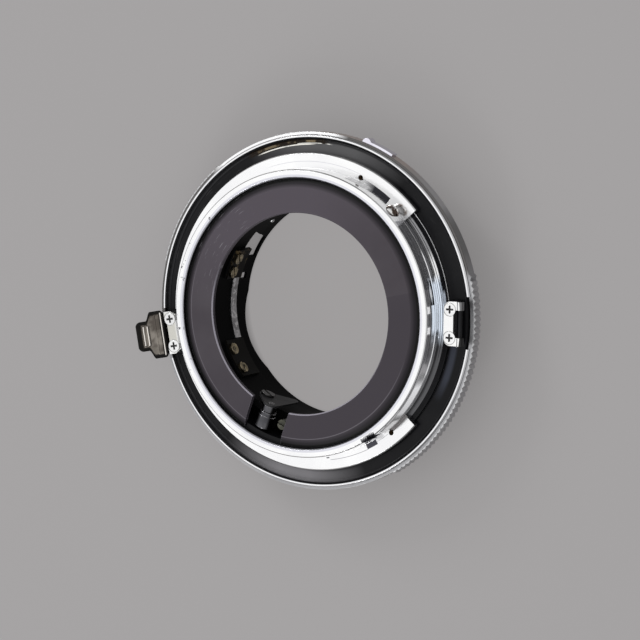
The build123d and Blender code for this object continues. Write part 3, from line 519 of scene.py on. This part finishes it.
# Clips: on each side a plated plate lies on a blackened block, held by two cross-head screws. Its two arms,
# left dark, carry the hinge pin. The tab of the right clip is lost, so its pin spans the pocket bare.
clip_turns = {"left": np.radians(178.0), "right": np.radians(-13.1)}
screw_ring = 39.9
screw_side = 3.45
screw_rim = (1.52, 1.68)
# On the left plate, beside the tab, an olive-grey patch between the screws is painted shade.
painted_tab_shade = {"radius": (38.8, 42.0), "angle": (172.0, 181.0), "soft": 0.6, "blur": 2.0, "share": 0.8,
          "colour": (0.46, 0.45, 0.40), "rough": 0.35}
arms = {"radius": (42.9, None), "colour": (0.010, 0.010, 0.010), "rough": 0.35, "metal": 0.0}
grey_arms = {"radius": (42.9, None), "angle": (347.0, 356.0), "colour": (0.20, 0.20, 0.205), "rough": 0.3,
             "metal": 1.0}
for side, turn in clip_turns.items():
    screw_places = [turned_out(turn, screw_ring, offset, 0.0)[:2] for offset in (-screw_side, screw_side)]
    screw_seats = [{"round": (*place, *screw_rim), "colour": (0.34, 0.34, 0.33), "rough": 0.4}
                   for place in screw_places]
    clip_plate = finish(side + "_clip_plate", (0.74, 0.74, 0.74), (0.82, 0.82, 0.81), (0.14, 0.26), 1.0,
                        gloss=0.3, zones=(painted_tab_shade, *screw_seats, arms, grey_arms))
    dress(clip_plate, side + "_hinge_plate")
# The floors of the screws' cross recesses are painted dark as shade.
cross_shade = {"height": (None, 18.1), "colour": (0.022, 0.022, 0.022), "rough": 0.5, "metal": 0.0}
clip_screw = finish("clip_screw", (0.66, 0.66, 0.66), (0.80, 0.80, 0.80), (0.16, 0.3), 1.0,
                    zones=(cross_shade,))
dress(clip_screw, "left_hinge_screws", "right_hinge_screws")
block_black = finish("block_black", (0.006, 0.006, 0.007), (0.010, 0.010, 0.011), (0.4, 0.5), 0.0, gloss=0.15)
dress(block_black, "left_hinge_block", "right_hinge_block", "left_hinge_pin", "right_hinge_pin")


# Finger tab: black casting that folds on the left clip's pin, to pull the clip up. Its rounded frame is
# blackened, and its sunk face with two ridges, like the lip at the hinge, is worn to brown gun-metal.
def smooth(value):
    """Step from 0 to 1 with level ends, for values between 0 and 1."""
    share = np.clip(value, 0, 1)
    return share * share * (3 - 2 * share)


def hump(value, middle, width):
    """Bell curve of height 1 round a middle."""
    return np.exp(-((value - middle) / width) ** 2)


def rounding(distance, radius):
    """How far a rounded corner draws in, at a distance from the end: the gap between a quarter round and its
    square."""
    return radius * (1 - np.sqrt(1 - np.clip(1 - distance / radius, 0, 1) ** 2))


def tab_skin(rows, columns):
    """Closed skin of the tab, in mm along the tab, across it and up from the hinge axis. Rows run along it
    and columns across, over the top and back under it. Half the width is the stem's, plus a shoulder that
    fades out past the bar, less the rounding of the corners. Top and underside lie half the thickness from
    the middle and meet in a quarter round at the edge; the top sinks into the well inside a frame, only a
    little over the thin hood at the hinge, and rises again in two ridges and the lip."""
    start = -0.4
    end = 7.0
    half_stem = 3.8
    shoulder = 2.2
    bar_end = 4.3
    bar_fade = 1.4
    end_round = 1.3
    start_round = 0.8
    edge_round = 0.5
    top = 1.32
    hood_bottom = 1.1
    hood_end = 1.4
    hood_fade = 0.5
    frame_width = 0.8
    well_start = 0.55
    well_end = 5.75
    well_slope = 0.35
    well_over_hood = 0.06
    well_deeper = 0.32
    well_step = 1.45
    ridge_places = (5.0, 3.95)
    ridge_width = 0.32
    ridge_half = 2.75
    ridge_fade = 0.4
    ridge_rise = 0.42
    lip_place = 0.25
    lip_width = 0.16
    lip_inset = 0.4
    lip_fade = 0.3
    lip_rise = 0.10
    along = start + (end - start) * (1 - np.cos(np.pi * np.linspace(0, 1, rows))) / 2
    over = np.sin(np.pi / 2 * np.linspace(-1, 1, columns))
    across = np.concatenate([over, over[-2:0:-1]])
    upper = np.concatenate([np.ones(columns), -np.ones(columns - 2)])
    half = half_stem + shoulder * smooth((bar_end - along) / bar_fade)
    half = half - rounding(end - along, end_round)
    half = half - rounding(along - start, start_round)
    half = half[:, None]
    x = np.repeat(along[:, None], across.size, axis=1)
    y = half * across[None, :]
    inset = np.minimum(half - np.abs(y), np.minimum(x - start, end - x))
    edge = np.sqrt(1 - (1 - np.clip(inset / edge_round, 0, 1)) ** 2)
    bottom = hood_bottom - smooth((x - hood_end) / hood_fade)
    z = (top + bottom) / 2 + upper * edge * (top - bottom) / 2
    border = np.minimum(half - frame_width - np.abs(y), np.minimum(well_end - x, x - well_start))
    well = smooth(border / well_slope) * (upper > 0)
    ridge_ends = smooth((ridge_half - np.abs(y)) / ridge_fade)
    ridges = sum(hump(x, place, ridge_width) for place in ridge_places) * ridge_ends * well
    lip = hump(x, lip_place, lip_width) * smooth((half - lip_inset - np.abs(y)) / lip_fade) * (upper > 0)
    depth = well_over_hood + well_deeper * smooth((x - well_step) / hood_fade)
    z = z - depth * well + ridge_rise * ridges + lip_rise * lip
    polished = np.clip(ridges * 1.5 - 0.4, 0, 1) + np.clip(lip * 1.4 - 0.3, 0, 1)
    return np.stack([x, y, z], axis=-1), well, polished


def knuckle_skin(rows, columns):
    """Closed tube round the hinge axis: a rectangle of wall and width with rounded corners, carried round."""
    middle_radius = 0.70
    half_wall = 0.15
    half_width = 3.12
    squareness = 1.35
    around = np.linspace(0, 2 * np.pi, columns, endpoint=False)
    section = np.linspace(0, 2 * np.pi, rows, endpoint=False)
    radius = middle_radius + half_wall * np.clip(squareness * np.cos(section), -1, 1)
    width = half_width * np.clip(squareness * np.sin(section), -1, 1)
    x = radius[:, None] * np.cos(around)[None, :]
    z = radius[:, None] * np.sin(around)[None, :]
    return np.stack([x, np.repeat(width[:, None], columns, axis=1), z], axis=-1)


hinge_radius = 42.5
hinge_height = 17.65
tilt = np.radians(25.0)
plate_points, bare, polished = tab_skin(rows=110, columns=70)
knuckle_points = knuckle_skin(rows=24, columns=48)
plate_count = plate_points.shape[0] * plate_points.shape[1]
knuckle_count = knuckle_points.shape[0] * knuckle_points.shape[1]
plain = np.zeros(knuckle_count)
local = np.concatenate([plate_points.reshape(-1, 3), knuckle_points.reshape(-1, 3)])
outward = hinge_radius + local[:, 0] * np.cos(tilt) - local[:, 2] * np.sin(tilt)
upward = hinge_height + local[:, 0] * np.sin(tilt) + local[:, 2] * np.cos(tilt)
plate_cells = cells(*plate_points.shape[:2], first=0, close_rows=False)
knuckle_cells = cells(*knuckle_points.shape[:2], first=plate_count, close_rows=True)
bare_face = {"attribute": "bare", "colour": (0.095, 0.083, 0.072), "rough": 0.30, "metal": 1.0}
bare_patches = {"attribute": "bare", "patchy": (330.0, 0.40, 0.60), "colour": (0.24, 0.218, 0.192),
                "rough": 0.34, "metal": 1.0}
polished_ridges = {"attribute": "polished", "colour": (0.82, 0.78, 0.73), "rough": 0.22, "metal": 1.0}
tab_casting = finish("tab_casting", (0.004, 0.004, 0.004), (0.009, 0.008, 0.007), (0.22, 0.34), 0.0,
                     gloss=0.06, cloud=260.0, zones=(bare_face, bare_patches, polished_ridges))
tab = new_piece("finger_tab", turned_out(clip_turns["left"], outward, local[:, 1], upward),
                np.concatenate([plate_cells, knuckle_cells]), tab_casting,
                [("bare", np.concatenate([bare.ravel(), plain])),
                 ("polished", np.concatenate([polished.ravel(), plain]))])
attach(tab, "tab")
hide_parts("left_tab")

# Floor: plain grey paper, which keeps the object's shadow and shows in its bright metal. It glows a little to
# the camera and in mirrored light, and more inside the lens bore, where little light falls.
paper = bpy.data.materials.new("paper")
paper.use_nodes = True
tree = paper.node_tree
shader = tree.nodes["Principled BSDF"]
shader.inputs["Base Color"].default_value = (0.335, 0.326, 0.329, 1)
shader.inputs["Roughness"].default_value = 0.9
shader.inputs["Specular IOR Level"].default_value = 0.1
glow = add(tree, "Emission", {"Color": (0.365, 0.352, 0.352, 1), "Strength": 1.0}).outputs[0]
path = add(tree, "LightPath", {}).outputs
seen = add(tree, "Math", {0: path["Is Camera Ray"], 1: path["Is Glossy Ray"]}, operation="MAXIMUM").outputs[0]
bore_radius = 27.0
sleeve_radius = 28.5
glow_in_bore = 0.9
glow_outside = 0.55
radius = measures(tree)["radius"]
share = span(tree, radius, bore_radius * mm, sleeve_radius * mm, glow_in_bore, glow_outside)
mixed = add(tree, "MixShader", {0: times(tree, seen, share), 1: shader.outputs[0], 2: glow}).outputs[0]
tree.links.new(mixed, tree.nodes["Material Output"].inputs["Surface"])
reach = 3.0
mesh = bpy.data.meshes.new("floor")
floor_corners = [(-reach, -reach, 0), (reach, -reach, 0), (reach, reach, 0), (-reach, reach, 0)]
mesh.from_pydata(floor_corners, [], [(0, 1, 2, 3)])
mesh.materials.append(paper)
floor = bpy.data.objects.new("floor", mesh)
bpy.context.scene.collection.objects.link(floor)

# Light: a pale sky that darkens to the horizon, a broad lamp across from the camera, and a smaller lamp on
# either hand.
sky = bpy.data.worlds.new("sky")
sky.use_nodes = True
tree = sky.node_tree
horizon_rise = 0.25
zenith_rise = 0.6
horizon_light = 0.18
rise = add(tree, "SeparateXYZ", {0: add(tree, "TexCoord", {}).outputs["Generated"]}).outputs["Z"]
brightness = span(tree, rise, horizon_rise, zenith_rise, horizon_light, 1.0)
tree.links.new(brightness, tree.nodes["Background"].inputs["Color"])
bpy.context.scene.world = sky


def lamp(name, place, size, power):
    """Square soft lamp at a place, facing the object."""
    light = bpy.data.lights.new(name, "AREA")
    light.size = size
    light.energy = power
    holder = bpy.data.objects.new(name, light)
    away = np.array(place) / np.linalg.norm(place)
    side = np.cross((1, 0, 0), away)
    side = side / np.linalg.norm(side)
    up = np.cross(away, side)
    holder.matrix_world = Matrix([(*side, 0), (*up, 0), (*away, 0), (*place, 1)]).transposed()
    bpy.context.scene.collection.objects.link(holder)


lamp("key", (-0.55, 0.0, 0.95), size=1.1, power=0.8)
lamp("upper", (-0.40, 0.90, 0.70), size=0.35, power=3.4)
lamp("lower", (-0.40, -0.90, 0.70), size=0.35, power=3.4)

# Camera: looks down on the object at the angle from which its face is seen, through a long lens from about
# 0.8 m away.
view = bpy.data.cameras.new("camera")
view.sensor_width = 36
view.lens = 181.3
view.clip_start = 0.01
right = (0.8496, -0.1839, -0.4944)
above = (0.1589, 0.9830, -0.0925)
behind = (0.5030, 0.0, 0.8643)
place = (0.4036, -0.0024, 0.7057)
camera = bpy.data.objects.new("camera", view)
camera.matrix_world = Matrix([(*right, 0), (*above, 0), (*behind, 0), (*place, 1)]).transposed()
bpy.context.scene.collection.objects.link(camera)
bpy.context.scene.camera = camera
bpy.context.scene.view_settings.view_transform = "Standard"
